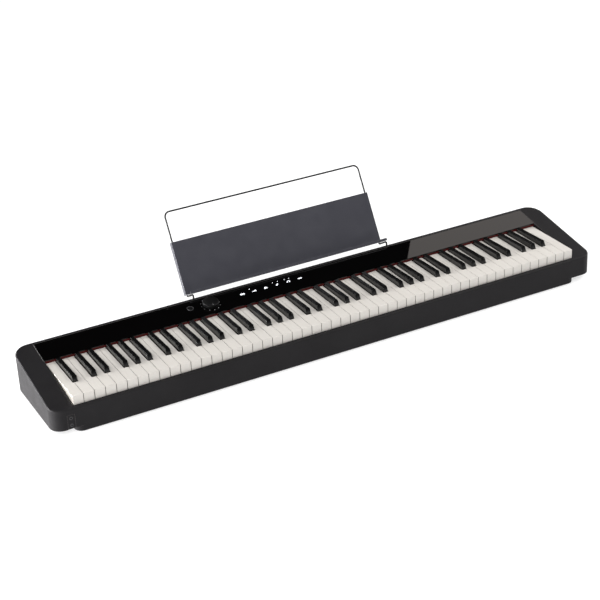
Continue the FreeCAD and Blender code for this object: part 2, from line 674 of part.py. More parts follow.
def key_chassis():
    """A moulded floor with ribs at the octave boundaries, guide posts in front and a stop plate behind."""
    solids = [block("frame_base", ("-frame_half", "frame_front", "frame_floor"),
                    ("frame_half", 200, "frame_floor + frame_skin")),
              block("frame_face", ("-frame_half", "frame_front", "frame_floor"),
                    ("frame_half", "frame_front + 2.5", 44)),
              block("guide_shelf", ("-frame_half", "frame_front", 41.5), ("frame_half", 24, 44)),
              block("stop_plate", ("-frame_half", "stop_front", "stop_height"),
                    ("frame_half", "stop_back", "stop_height + 2"))]
    rib_places = [octave_start(octave) for octave in range(1, 9)]
    rib_places += ["-frame_half + rib_half", "frame_half - rib_half"]
    solids += [rib(f"rib_{index}", place) for index, place in enumerate(rib_places)]
    for index in range(52):
        middle = f"keys_left + key_pitch * {index + 0.5}"
        solids.append(block(f"guide_post_{index}", (f"{middle} - 4", 17, 43), (f"{middle} + 4", 23, 66)))
    holes = [rod("pivot_bore", "x", "pivot_radius + 0.05", ("-frame_half - 1", "pivot_depth", "pivot_height"),
                 "frame_half * 2 + 2"),
             rod("shaft_bore", "x", "shaft_radius + 0.05", ("-frame_half - 1", "hammer_depth",
                                                            "hammer_height"),
                 "frame_half * 2 + 2"),
             block("bay_clearance", ("bay_left - 1", "frame_front - 1", 5),
                   ("bay_right + 1", "bay_back + 2", 24)),
             block("low_felt_space", ("-frame_half - 1", "stop_front - 1", "frame_floor + frame_skin"),
                   ("frame_half + 1", "felt_back + 1", 16)),
             block("high_felt_space", ("-frame_half - 1", "stop_front - 1", 58.5),
                   ("frame_half + 1", "felt_back + 1", "stop_height"))]
    return cut("frame", fuse("frame_solids", *solids), *holes)


def contact_rubbers():
    """One strip of domes for each octave of sensors."""
    strip = new_body("dome_strip")
    pad(strip, "XY", rectangle(2, f"{OCTAVE} - 2", 135, 147), "sensor_height + 1.6", "sensor_height + 2.6")
    dome = rectangle(4, 10, 138, 144)
    first = pad(strip, "XY", dome, "sensor_height + 2", "sensor_height + 6.6")
    doc.recompute()
    repeat = strip.newObject("PartDesign::LinearPattern", "domes")
    repeat.Originals = [first]
    repeat.Direction = ([item for item in strip.Origin.OriginFeatures if item.Role == "X_Axis"][0], [""])
    repeat.setExpression("Length", cell(f"{OCTAVE} / {SENSOR_SLOTS} * {SENSOR_SLOTS - 1}"))
    repeat.Occurrences = SENSOR_SLOTS
    strip.Tip = repeat
    return group("dome_strips", *[copy_along(strip, f"dome_strip_{octave}", octave_start(octave))
                                  for octave in range(1, 8)])


keep("key_chassis", key_chassis())
keep("key_pivot_rod", rod("pivot_rod", "x", "pivot_radius", ("-frame_half - 1", "pivot_depth",
                                                             "pivot_height"),
                          "frame_half * 2 + 2"))
keep("hammer_shaft", rod("shaft", "x", "shaft_radius", ("-frame_half - 1", "hammer_depth", "hammer_height"),
                         "frame_half * 2 + 2"))
keep("hammer_cushions", group(
    "cushions", block("low_felt", ("-frame_half", "stop_front", "frame_floor + frame_skin"),
                      ("frame_half", "felt_back", 15.7)),
    block("high_felt", ("-frame_half", "stop_front", 58.8), ("frame_half", "felt_back", "stop_height"))))
keep("contact_board", block("sensor_board", ("-frame_half", "sensor_front", "sensor_height"),
                            ("frame_half", "sensor_back", "sensor_height + 1.6")))
keep("contact_rubbers", contact_rubbers())


# ---------------------------------------------------------------- sockets and rear board
def phone_jacks():
    jacks = []
    for level in ("phone_high", "phone_low"):
        case = block(f"{level}_case", ("phone_x - 5.2", "wall + 0.1", f"{level} - 4.8"),
                     ("phone_x + 5.2", 16, f"{level} + 4.8"))
        nozzle = rod(f"{level}_nozzle", "y", 3.2, ("phone_x", 0.8, level), 5)
        jacks.append(cut(f"{level}_jack", fuse(f"{level}_solid", case, nozzle),
                         rod(f"{level}_bore", "y", "phone_bore", ("phone_x", 0, level), 15)))
    return group("phones", *jacks)


def rear_jacks():
    jacks = []
    for index, place_x in enumerate(LINE_JACKS):
        case = block(f"line_case_{index}", (f"{place_x} - 7.5", 206, "rear_board + 1.6"),
                     (f"{place_x} + 7.5", "case_depth - wall - 0.2", 35))
        nozzle = rod(f"line_nozzle_{index}", "y", 5.5, (place_x, 220, "jack_height"),
                     "case_depth + 0.3 - 220")
        jacks.append(cut(f"line_jack_{index}", fuse(f"line_solid_{index}", case, nozzle),
                         rod(f"line_bore_{index}", "y", "jack_bore", (place_x, 208, "jack_height"), 30)))
    return group("line_jacks", *jacks)


def rear_sockets():
    """The power inlet with its centre pin, and the data socket with its tongue."""
    inlet = cut("inlet_shell", block("inlet_body", (-370.5, 214, "rear_board + 1.6"),
                                     (-359.5, "case_depth - 0.5", 32)),
                rod("inlet_bore", "y", 2.9, (-365, 218, 26.5), 30))
    pin = rod("inlet_pin", "y", 0.9, (-365, 217, 26.5), 12)
    data = cut("data_shell", block("data_body", (-346, 213, "rear_board + 1.6"),
                                   (-334, "case_depth - 0.5", 32)),
               block("data_bore", (-344.3, 216, 22), (-335.7, 240, 30.5)))
    tongue = block("data_tongue", (-342.8, 215, 24.5), (-337.2, 228, 28))
    return group("power_and_data", fuse("power_inlet", inlet, pin), fuse("data_socket", data, tongue))


keep("headphone_jacks", phone_jacks())
keep("rear_jacks", rear_jacks())
keep("rear_sockets", rear_sockets())
keep("main_board", block("rear_board_plate", ("board_left", "board_front", "rear_board"),
                         ("board_right", 227.5, "rear_board + 1.6")))


# ---------------------------------------------------------------- speakers
def stadium(name, side, radius, low, high):
    """An oval solid at a speaker's place."""
    ends = [rod(f"{name}_end_{index}", "z", radius, (f"speaker_x * {side}",
                                                     f"speaker_depth + {way} * speaker_reach", low),
                f"({high}) - ({low})") for index, way in enumerate((-1, 1))]
    middle = block(f"{name}_middle", (f"speaker_x * {side} - {radius}", "speaker_depth - speaker_reach", low),
                   (f"speaker_x * {side} + {radius}", "speaker_depth + speaker_reach", high))
    return fuse(name, middle, *ends)


def speakers():
    frames = []
    cones = []
    magnets = []
    for side in (-1, 1):
        tag = "left" if side < 0 else "right"
        frames.append(cut(f"frame_{tag}", stadium(f"rim_{tag}", side, "speaker_half", "wing_top",
                                                  "wing_top + 4"),
                          stadium(f"mouth_{tag}", side, "(speaker_half - 3)", "wing_top - 1",
                                  "wing_top + 5")))
        low = stadium(f"skirt_{tag}", side, "(speaker_half - 3.2)", "wing_top + 2", "wing_top + 3")
        rise = rod(f"dome_{tag}", "z", 9, (f"speaker_x * {side}", "speaker_depth", "wing_top + 2.5"), 9)
        cones.append(fuse(f"cone_{tag}", low, rise))
        magnets.append(rod(f"magnet_{tag}", "z", 15, (f"speaker_x * {side}", "speaker_depth",
                                                      "wing_top + 11.5"), 12))
    keep("speaker_frames", group("frames", *frames))
    keep("speaker_cones", group("cones", *cones))
    keep("speaker_magnets", group("magnets", *magnets))


speakers()


# ---------------------------------------------------------------- music rest
def rest_sockets():
    tubes = []
    for side in (-1, 1):
        place = (f"rest_x * {side}", "leg_depth", "rear_height - socket_depth - 0.6")
        tube = rod(f"socket_{side + 1}", "z", "socket_outer", place,
                   f"{top('leg_depth - 3')} - 0.2 - (rear_height - socket_depth - 0.6)")
        bore = rod(f"socket_bore_{side + 1}", "z", "socket_bore",
                   (place[0], place[1], "rear_height - socket_depth + 0.6"), 30)
        tubes.append(cut(f"socket_tube_{side + 1}", tube, bore))
    return group("sockets", *tubes)


def on_plate(out, up):
    """Depth and height of a point given square to the leaning plate and along it, from its foot."""
    return (f"plate_back - ({out}) * cos(rest_tilt) + ({up}) * sin(rest_tilt)",
            f"plate_low + ({out}) * sin(rest_tilt) + ({up}) * cos(rest_tilt)")


def rest_plate():
    """A folded sheet: a leaning back with side flanges, and a shelf with a raised lip square to it."""
    section = [("-plate_thick", 0), ("shelf_deep", 0), ("shelf_deep", "lip_high"),
               ("shelf_deep - plate_thick", "lip_high"), ("shelf_deep - plate_thick", "plate_thick"),
               (0, "plate_thick"), (0, "plate_long"), ("-plate_thick", "plate_long")]
    flange = [("-flange_deep", 0), (0, 0), (0, "plate_long"), ("-flange_deep", "plate_long")]
    body = new_body("rest_sheet")
    pad(body, "YZ", [on_plate(*corner) for corner in section], "-plate_half", "plate_half")
    flange_profile = [on_plate(*corner) for corner in flange]
    pad(body, "YZ", flange_profile, "-plate_half", "-plate_half + plate_thick")
    pad(body, "YZ", flange_profile, "plate_half - plate_thick", "plate_half")
    return body


def bent_path(points, radii):
    """Straight runs between points, joined by an arc of the given radius at each inner point."""
    edges = []
    start = points[0]
    for before, corner, after, radius in zip(points, points[1:], points[2:], radii):
        into = (corner - before).normalize()
        out = (after - corner).normalize()
        reach = radius * math.tan(into.getAngle(out) / 2)
        to_middle = math.hypot(radius, reach) - radius
        first = corner - into * reach
        last = corner + out * reach
        edges.append(Part.LineSegment(start, first).toShape())
        edges.append(Part.Arc(first, corner + (out - into).normalize() * to_middle, last).toShape())
        start = last
    edges.append(Part.LineSegment(start, points[-1]).toShape())
    return Part.Wire(edges)


def rest_wire():
    """One bent wire: two legs, their runs back under the shelf, and a frame behind the plate."""
    below = "(wire_radius + wire_gap)"
    behind = "(plate_thick + wire_radius + wire_gap)"
    foot_out = f"((plate_back - leg_depth - {below} * sin(rest_tilt)) / cos(rest_tilt))"
    profile = [("leg_depth", "rear_height - socket_depth + 1"), on_plate(foot_out, f"-{below}"),
               on_plate(f"-{behind}", f"-{below}"), on_plate(f"-{behind}", "wire_rise")]
    left = [Vector(-number("rest_x"), number(depth), number(height)) for depth, height in profile]
    right = [Vector(-point.x, point.y, point.z) for point in reversed(left)]
    step_bend = number("step_bend")
    top_bend = number("wire_bend")
    path = bent_path(left + right, (step_bend, step_bend, top_bend, top_bend, step_bend, step_bend))
    circle = Part.Wire(Part.makeCircle(number("wire_radius"), left[0], Vector(0, 0, 1)))
    wire = doc.addObject("Part::Feature", "rest_wire")
    wire.Shape = path.makePipeShell([circle], True, False)
    return wire


keep("rest_sockets", rest_sockets())
keep("music_rest_plate", rest_plate())
keep("music_rest_frame", rest_wire())

# ---------------------------------------------------------------- check and write
doc.recompute()
for item in doc.Objects:
    if "Invalid" in item.State or "Error" in item.State:
        raise RuntimeError(f"{item.Name} failed: {item.State}")
os.makedirs("parts", exist_ok=True)
for node in NODES:
    shape = node.Shape
    if shape.isNull() or not shape.isValid():
        raise RuntimeError(f"{node.Label} has no valid shape")
    shape.exportStep(f"parts/{node.Label}.step")
    box = shape.BoundBox
    print(f"{node.Label:22s} {len(shape.Solids):3d} solids {shape.Volume / 1000:9.2f} cm3  "
          f"x {box.XMin:7.1f} {box.XMax:7.1f}  y {box.YMin:7.1f} {box.YMax:7.1f}  "
          f"z {box.ZMin:6.1f} {box.ZMax:6.1f}")
print(len(NODES), "sub-parts")
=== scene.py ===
"""Looks of the digital piano: materials, fine pieces, studio and camera.

Metres, in the row frame: X along the keyboard, Y from front to back, Z up.
"""

import json
import math

import bmesh
import bpy
from mathutils import Matrix, Vector


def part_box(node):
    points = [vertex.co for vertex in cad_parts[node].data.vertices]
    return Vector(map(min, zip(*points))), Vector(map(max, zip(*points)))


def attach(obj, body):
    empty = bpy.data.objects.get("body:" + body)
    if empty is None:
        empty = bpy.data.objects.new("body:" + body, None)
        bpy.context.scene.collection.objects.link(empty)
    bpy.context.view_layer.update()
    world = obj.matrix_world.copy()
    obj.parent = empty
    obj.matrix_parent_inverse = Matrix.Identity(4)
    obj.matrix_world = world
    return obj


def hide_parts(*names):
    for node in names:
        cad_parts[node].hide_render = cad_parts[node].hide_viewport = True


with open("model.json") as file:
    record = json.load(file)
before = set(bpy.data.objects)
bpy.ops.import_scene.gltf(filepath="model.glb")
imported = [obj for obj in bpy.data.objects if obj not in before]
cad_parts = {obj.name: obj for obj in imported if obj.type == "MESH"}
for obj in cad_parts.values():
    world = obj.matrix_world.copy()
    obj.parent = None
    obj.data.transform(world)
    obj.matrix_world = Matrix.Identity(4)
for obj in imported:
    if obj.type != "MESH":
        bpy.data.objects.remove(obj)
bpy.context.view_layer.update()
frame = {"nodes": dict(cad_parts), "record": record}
nodes = frame["nodes"]
slot_of_node = {part["node"]: part["material_slot"] for part in frame["record"]["subparts"]}

# The sloping top: its plane passes through the case's front top edge.
CASE_FRONT = -0.1787
CASE_DEPTH = 0.232
FRONT_HEIGHT = 0.060
BACK_HEIGHT = 0.102
SLOPE = math.atan2(BACK_HEIGHT - FRONT_HEIGHT, CASE_DEPTH)
# Things on the gloss panel: x, and the row up the slope.
KNOB_X = -0.220
KNOB_ROW = 0.198
POWER_X = -0.266
POWER_ROW = 0.203
ICON_FIRST = -0.1405
ICON_PITCH = 0.0285
ICON_ROW = 0.2022
LAMP_ROW = 0.2125
LAMP_PLACES = (-0.1185, -0.061, -0.049, -0.032, -0.0205)


def on_panel(x, along, lift=0.0):
    """The point of the sloping plane at x, that far along the slope, lifted square to it."""
    y = CASE_FRONT + along * math.cos(SLOPE) - lift * math.sin(SLOPE)
    z = FRONT_HEIGHT + along * math.sin(SLOPE) + lift * math.cos(SLOPE)
    return Vector((x, y, z))


# ---------------------------------------------------------------- materials

class Shader:
    """A Principled material with helpers for the nodes that feed it."""

    def __init__(self, name, colour, roughness, metallic=0.0, specular=0.5):
        self.material = bpy.data.materials.new(name)
        self.material.use_nodes = True
        self.tree = self.material.node_tree
        self.surface = self.tree.nodes["Principled BSDF"]
        self.surface.inputs["Base Color"].default_value = (*colour, 1)
        self.surface.inputs["Roughness"].default_value = roughness
        self.surface.inputs["Metallic"].default_value = metallic
        self.surface.inputs["Specular IOR Level"].default_value = specular
        self.colour = colour
        self.bump = None
        self.place = self.tree.nodes.new("ShaderNodeTexCoord").outputs["Object"]

    def join(self, source, target):
        self.tree.links.new(source, target)

    def noise(self, scale, stretch=(1, 1, 1), detail=3.0, rough=0.55):
        """Noise over the object's own coordinates, scale in cycles per metre."""
        mapping = self.tree.nodes.new("ShaderNodeMapping")
        mapping.inputs["Scale"].default_value = stretch
        self.join(self.place, mapping.inputs["Vector"])
        texture = self.tree.nodes.new("ShaderNodeTexNoise")
        texture.inputs["Scale"].default_value = scale
        texture.inputs["Detail"].default_value = detail
        texture.inputs["Roughness"].default_value = rough
        self.join(mapping.outputs["Vector"], texture.inputs["Vector"])
        return texture.outputs["Fac"]

    def cells(self, scale):
        """Distance to the nearest cell point, for pores and leathery grain."""
        texture = self.tree.nodes.new("ShaderNodeTexVoronoi")
        texture.inputs["Scale"].default_value = scale
        self.join(self.place, texture.inputs["Vector"])
        return texture.outputs["Distance"]

    def waves(self, scale, direction, distort):
        """Wavy bands across that axis."""
        texture = self.tree.nodes.new("ShaderNodeTexWave")
        texture.bands_direction = direction
        texture.inputs["Scale"].default_value = scale
        texture.inputs["Distortion"].default_value = distort
        texture.inputs["Detail"].default_value = 2
        self.join(self.place, texture.inputs["Vector"])
        return texture.outputs["Fac"]

    def spread(self, value, low, high, from_low=0.3, from_high=0.7):
        """Maps a value between from_low and from_high to one between low and high."""
        node = self.tree.nodes.new("ShaderNodeMapRange")
        node.inputs["From Min"].default_value = from_low
        node.inputs["From Max"].default_value = from_high
        node.inputs["To Min"].default_value = low
        node.inputs["To Max"].default_value = high
        self.join(value, node.inputs["Value"])
        return node.outputs["Result"]

    def tint(self, value, other):
        """Mixes the base colour towards another colour as value goes from 0 to 1."""
        mix = self.tree.nodes.new("ShaderNodeMix")
        mix.data_type = "RGBA"
        base = self.surface.inputs["Base Color"]
        if base.is_linked:
            self.join(base.links[0].from_socket, mix.inputs["A"])
        else:
            mix.inputs["A"].default_value = (*self.colour, 1)
        mix.inputs["B"].default_value = (*other, 1)
        self.join(value, mix.inputs["Factor"])
        self.join(mix.outputs["Result"], base)

    def dull(self, value, low, high):
        """Lets the roughness wander between low and high."""
        self.join(self.spread(value, low, high), self.surface.inputs["Roughness"])

    def relief(self, value, height, strength=0.6):
        """Adds bump of that height in metres; later calls add to earlier ones."""
        bump = self.tree.nodes.new("ShaderNodeBump")
        bump.inputs["Strength"].default_value = strength
        bump.inputs["Distance"].default_value = height
        self.join(value, bump.inputs["Height"])
        if self.bump:
            self.join(self.bump, bump.inputs["Normal"])
        self.bump = bump.outputs["Normal"]
        self.join(self.bump, self.surface.inputs["Normal"])

    def work(self, operation, first, second):
        """One arithmetic step on a socket, with a number or another socket."""
        node = self.tree.nodes.new("ShaderNodeMath")
        node.operation = operation
        self.join(first, node.inputs[0])
        if isinstance(second, (int, float)):
            node.inputs[1].default_value = second
        else:
            self.join(second, node.inputs[1])
        return node.outputs[0]

    def shaded_side_walls(self, height):
        """1 on faces that look along X and lie below that height, 0 elsewhere: the mask for painted shade
        in the gaps between keys.
        """
        split = self.tree.nodes.new("ShaderNodeSeparateXYZ")
        self.join(self.place, split.inputs["Vector"])
        facing = self.tree.nodes.new("ShaderNodeSeparateXYZ")
        self.join(self.place.node.outputs["Normal"], facing.inputs["Vector"])
        across = self.work("MULTIPLY", facing.outputs["X"], facing.outputs["X"])
        sideways = self.work("GREATER_THAN", across, 0.5)
        low = self.work("LESS_THAN", split.outputs["Z"], height)
        return self.work("MULTIPLY", sideways, low)

    def edge_highlight_and_wear(self, other, radius=0.0012, amount=0.7):
        """Lightens the outer edges: a painted highlight where rounded edges catch the light, with some edge
        wear.
        """
        rounded_normal = self.tree.nodes.new("ShaderNodeBevel")
        rounded_normal.samples = 4
        rounded_normal.inputs["Radius"].default_value = radius
        geometry = self.tree.nodes.new("ShaderNodeNewGeometry")
        facing = self.tree.nodes.new("ShaderNodeVectorMath")
        facing.operation = "DOT_PRODUCT"
        self.join(rounded_normal.outputs["Normal"], facing.inputs[0])
        self.join(geometry.outputs["Normal"], facing.inputs[1])
        self.tint(self.spread(facing.outputs["Value"], amount, 0, 0.8, 0.98), other)


def moulded(name, colour, roughness, grain=2600, depth=0.00006, drift=0.25, specular=0.5):
    """Textured moulded plastic: fine grain, faint mottling and uneven gloss."""
    made = Shader(name, colour, roughness, specular=specular)
    lighter = tuple(c * (1 + drift) + 0.002 for c in colour)
    made.tint(made.spread(made.noise(9, detail=4), 0, 0.8), lighter)
    made.tint(made.spread(made.noise(grain * 0.5), 0, 0.5), tuple(c * (1 - drift) for c in colour))
    made.dull(made.noise(35), roughness - 0.06, roughness + 0.06)
    made.relief(made.cells(grain), depth, 0.5)
    made.relief(made.noise(grain * 0.35), depth * 1.5, 0.3)
    return made


def metal(name, colour, roughness, brushed=(1, 1, 1), scale=1200):
    """Metal with fine drawn lines along its longest stretch."""
    made = Shader(name, colour, roughness, metallic=1.0)
    lines = made.noise(scale, brushed, detail=4)
    made.tint(made.spread(lines, 0, 0.5), tuple(c * 0.6 for c in colour))
    made.dull(made.noise(60), roughness - 0.08, roughness + 0.1)
    made.relief(lines, 0.00002, 0.4)
    return made


def ink(name, colour, darker):
    """Printed ink with a fine uneven tone."""
    made = Shader(name, colour, 0.5)
    made.tint(made.spread(made.noise(1800), 0, 0.5), darker)
    return made


def make_materials():
    """One material for each material slot of the record, and a few looks besides."""
    made = {}
    case = moulded("case_plastic", (0.0150, 0.0142, 0.0152), 0.5, specular=0.08)
    # Painted highlight, with some edge wear: the case's outer edges are lightened where rounded edges catch
    # the light.
    case.edge_highlight_and_wear((0.085, 0.080, 0.078), 0.0020, 0.9)
    made["case"] = case
    made["tray"] = moulded("tray_plastic", (0.018, 0.017, 0.018), 0.6, 1800, 0.0001)

    panel = Shader("gloss_panel", (0.0008, 0.0007, 0.0007), 0.03)
    haze = panel.noise(14, detail=5)
    panel.dull(haze, 0.008, 0.018)
    panel.tint(panel.spread(haze, 0, 0.4), (0.0014, 0.0012, 0.0012))
    panel.relief(panel.noise(900), 0.000001, 0.05)
    made["panel"] = panel

    icon = Shader("lit_icon", (0.9, 0.92, 0.95), 0.4)
    glow = icon.tree.nodes.new("ShaderNodeMix")
    glow.data_type = "RGBA"
    glow.inputs["A"].default_value = (0.85, 0.9, 1.0, 1)
    glow.inputs["B"].default_value = (1.0, 1.0, 1.0, 1)
    icon.join(icon.noise(700), glow.inputs["Factor"])
    icon.join(glow.outputs["Result"], icon.surface.inputs["Emission Color"])
    icon.surface.inputs["Emission Strength"].default_value = 1.0
    made["icon"] = icon

    knob = moulded("knob_rubber", (0.0022, 0.0022, 0.0024), 0.4, 3200, 0.00004, specular=0.15)
    # Painted highlight, with some edge wear: the knob's outer edges are lightened.
    knob.edge_highlight_and_wear((0.022, 0.022, 0.023), 0.0008)
    made["knob"] = knob

    white = Shader("white_key", (0.66, 0.632, 0.595), 0.34, specular=0.4)
    grain = white.noise(900, (1, 0.035, 1), detail=4)
    white.tint(white.spread(grain, 0, 0.55), (0.56, 0.532, 0.49))
    white.tint(white.spread(white.noise(6, detail=2), 0, 0.35), (0.68, 0.645, 0.595))
    # Painted shade: the keys' side walls below the top are darkened, because light doesn't reach into the
    # gaps between the keys.
    white.tint(white.shaded_side_walls(0.0806), (0.22, 0.205, 0.185))
    white.dull(white.noise(300, (1, 0.1, 1)), 0.28, 0.42)
    white.relief(grain, 0.00006, 0.5)
    made["white_key"] = white

    black = Shader("black_key", (0.0010, 0.0010, 0.0010), 0.3)
    wood = black.noise(1100, (1, 0.05, 1), detail=5)
    black.tint(black.spread(wood, 0, 0.8), (0.0050, 0.0051, 0.0048))
    black.dull(black.noise(500, (1, 0.08, 1)), 0.15, 0.26)
    black.relief(wood, 0.00006, 0.4)
    made["black_key"] = black

    felt = Shader("red_felt", (0.085, 0.012, 0.011), 0.95, specular=0.1)
    felt.tint(felt.spread(felt.noise(1500, detail=6), 0, 0.9), (0.035, 0.006, 0.006))
    felt.relief(felt.noise(2600, detail=6, rough=0.8), 0.0006, 1.0)
    felt.surface.inputs["Sheen Weight"].default_value = 0.25
    felt.surface.inputs["Sheen Tint"].default_value = (0.5, 0.1, 0.1, 1)
    made["key_felt"] = felt

    sheet = moulded("rest_coat", (0.046, 0.046, 0.056), 0.40, 2200, 0.00005, 0.12, specular=0.35)
    # Painted highlight, with some edge wear: the rest sheet's outer edges are lightened.
    sheet.edge_highlight_and_wear((0.13, 0.13, 0.14), 0.0008)
    made["rest_sheet"] = sheet
    wire = Shader("rest_wire", (0.004, 0.004, 0.0045), 0.42, specular=0.2)
    wire.tint(wire.spread(wire.noise(900), 0, 0.6), (0.010, 0.010, 0.011))
    wire.dull(wire.noise(200), 0.36, 0.5)
    wire.relief(wire.noise(1600), 0.00008, 0.6)
    made["rest_wire"] = wire

    made["hammer"] = metal("cast_steel", (0.32, 0.32, 0.33), 0.45)
    made["steel_rod"] = metal("drawn_steel", (0.62, 0.62, 0.63), 0.25, (0.02, 1, 1))
    made["chassis"] = moulded("chassis_plastic", (0.025, 0.025, 0.027), 0.55, 1500, 0.0001)
    cushion = Shader("foam_felt", (0.30, 0.05, 0.05), 0.95, specular=0.15)
    cushion.tint(cushion.spread(cushion.noise(1300, detail=6), 0, 0.9), (0.14, 0.02, 0.02))
    cushion.relief(cushion.noise(2200, detail=6), 0.0006, 0.9)
    made["cushion"] = cushion

    board = Shader("circuit_board", (0.02, 0.12, 0.05), 0.35)
    tracks = board.waves(110, "X", 6.0)
    board.tint(board.spread(tracks, 0, 0.8, 0.45, 0.5), (0.03, 0.2, 0.08))
    board.relief(tracks, 0.00005, 0.4)
    made["board"] = board
    made["dome"] = moulded("dome_rubber", (0.20, 0.20, 0.21), 0.6, 1800, 0.00006)
    made["component"] = moulded("component_body", (0.02, 0.02, 0.022), 0.5, 2400, 0.00005)

    cone = Shader("paper_cone", (0.03, 0.03, 0.03), 0.85, specular=0.2)
    cone.tint(cone.spread(cone.noise(900, detail=6), 0, 0.8), (0.06, 0.058, 0.055))
    cone.relief(cone.noise(1400, detail=6), 0.0003, 0.8)
    made["cone"] = cone
    made["magnet"] = metal("plated_steel", (0.45, 0.45, 0.47), 0.35)

    made["foot"] = moulded("foot_rubber", (0.012, 0.012, 0.012), 0.85, 1500, 0.00012, specular=0.3)
    made["screw"] = metal("black_zinc", (0.10, 0.10, 0.11), 0.38)
    made["insert"] = metal("brass", (0.60, 0.44, 0.18), 0.32)
    cell = Shader("cell_sleeve", (0.05, 0.12, 0.30), 0.3)
    cell.tint(cell.spread(cell.noise(40), 0, 0.6), (0.03, 0.07, 0.2))
    cell.relief(cell.noise(800), 0.00005, 0.3)
    made["cell"] = cell
    made["contact"] = metal("spring_nickel", (0.65, 0.63, 0.58), 0.3)
    made["socket"] = moulded("socket_plastic", (0.010, 0.010, 0.011), 0.4, 2600, 0.00004)
    made["dark_rim"] = metal("dark_plated_rim", (0.09, 0.09, 0.095), 0.35)

    # Looks that no slot of the record stands for.
    made["print"] = ink("grey_print", (0.30, 0.30, 0.31), (0.2, 0.2, 0.21))
    made["faint_print"] = ink("faint_print", (0.10, 0.10, 0.105), (0.06, 0.06, 0.063))
    smoked = Shader("smoked_window", (0.004, 0.004, 0.005), 0.06)
    smoked.dull(smoked.noise(60), 0.04, 0.09)
    smoked.relief(smoked.noise(900), 0.000004, 0.1)
    made["smoked"] = smoked
    return made


# ------------------------------------------------------------ mesh building

def piece(name, mesh, body, slot, replaces=(), look=None):
    """Turns a bmesh into a piece on that body; look names its material where the slot's won't do."""
    bmesh.ops.recalc_face_normals(mesh, faces=mesh.faces)
    data = bpy.data.meshes.new(name)
    mesh.to_mesh(data)
    mesh.free()
    data.materials.append(materials[look or slot].material)
    made = bpy.data.objects.new(name, data)
    bpy.context.scene.collection.objects.link(made)
    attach(made, body)
    if replaces:
        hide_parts(*replaces)
    return made


WELD_REACH = 0.00002
SHARP_ANGLE = math.radians(35)
SMOOTH_BELOW = math.radians(32)


def soften(target, width):
    """Rounds a CAD node's sharp edges and keeps its broad faces shaded flat."""
    join = target.modifiers.new("weld", "WELD")
    join.merge_threshold = WELD_REACH
    smooth(target)
    bevel = target.modifiers.new("soft_edges", "BEVEL")
    bevel.width = width
    bevel.segments = 2
    bevel.limit_method = "ANGLE"
    bevel.angle_limit = SHARP_ANGLE
    bevel.harden_normals = True
    weigh = target.modifiers.new("flat_faces", "WEIGHTED_NORMAL")
    weigh.weight = 100
    weigh.keep_sharp = True


def smooth_group():
    """A modifier tree that shades smooth everywhere but at sharp edges."""
    tree = bpy.data.node_groups.new("smooth_but_edges", "GeometryNodeTree")
    tree.interface.new_socket("Geometry", in_out="INPUT", socket_type="NodeSocketGeometry")
    tree.interface.new_socket("Geometry", in_out="OUTPUT", socket_type="NodeSocketGeometry")
    start = tree.nodes.new("NodeGroupInput")
    end = tree.nodes.new("NodeGroupOutput")
    faces = tree.nodes.new("GeometryNodeSetShadeSmooth")
    edges = tree.nodes.new("GeometryNodeSetShadeSmooth")
    edges.domain = "EDGE"
    angle = tree.nodes.new("GeometryNodeInputMeshEdgeAngle")
    below = tree.nodes.new("FunctionNodeCompare")
    below.data_type = "FLOAT"
    below.operation = "LESS_THAN"
    below.inputs["B"].default_value = SMOOTH_BELOW
    link = tree.links.new
    link(start.outputs[0], faces.inputs["Geometry"])
    link(faces.outputs[0], edges.inputs["Geometry"])
    link(angle.outputs["Unsigned Angle"], below.inputs["A"])
    link(below.outputs["Result"], edges.inputs["Shade Smooth"])
    link(edges.outputs[0], end.inputs[0])
    return tree


def smooth(target):
    """Shades an object smooth, but for its sharp edges."""
    target.modifiers.new("smooth", "NODES").node_group = smoothing


def fill(mesh, loops):
    """Fills the area between an outer loop of vertices and the holes in it."""
    edges = []
    for loop in loops:
        for a, b in zip(loop, loop[1:] + loop[:1]):
            edges.append(mesh.edges.get((a, b)) or mesh.edges.new((a, b)))
    bmesh.ops.triangle_fill(mesh, use_beauty=True, use_dissolve=False, edges=edges)


def walls(mesh, upper, lower):
    """Joins two loops of vertices, of equal length, with a band of faces."""
    for a, b, c, d in zip(upper, upper[1:] + upper[:1], lower[1:] + lower[:1], lower):
        mesh.faces.new((a, b, c, d))


def slab(mesh, outline, low, high, place):
    """Adds a closed plate with that outline between two heights; place maps (x, y, z)."""
    bottom = [mesh.verts.new(place(x, y, low)) for x, y in outline]
    above = [mesh.verts.new(place(x, y, high)) for x, y in outline]
    mesh.faces.new(above)
    mesh.faces.new(bottom)
    walls(mesh, above, bottom)


def circle(centre, radius, count=24, wide=1.0):
    """Outline of a circle, or of an ellipse that many times as wide as high."""
    points = []
    for i in range(count):
        turn = 2 * math.pi * i / count
        points.append((centre[0] + wide * radius * math.cos(turn), centre[1] + radius * math.sin(turn)))
    return points


def rounded(centre, wide, deep, radius, steps=5):
    """Outline of a rectangle with round corners."""
    points = []
    for quarter, (sx, sy) in enumerate(((1, 1), (-1, 1), (-1, -1), (1, -1))):
        corner_x = centre[0] + sx * (wide / 2 - radius)
        corner_y = centre[1] + sy * (deep / 2 - radius)
        for i in range(steps + 1):
            turn = math.pi / 2 * (quarter + i / steps)
            points.append((corner_x + radius * math.cos(turn), corner_y + radius * math.sin(turn)))
    return points


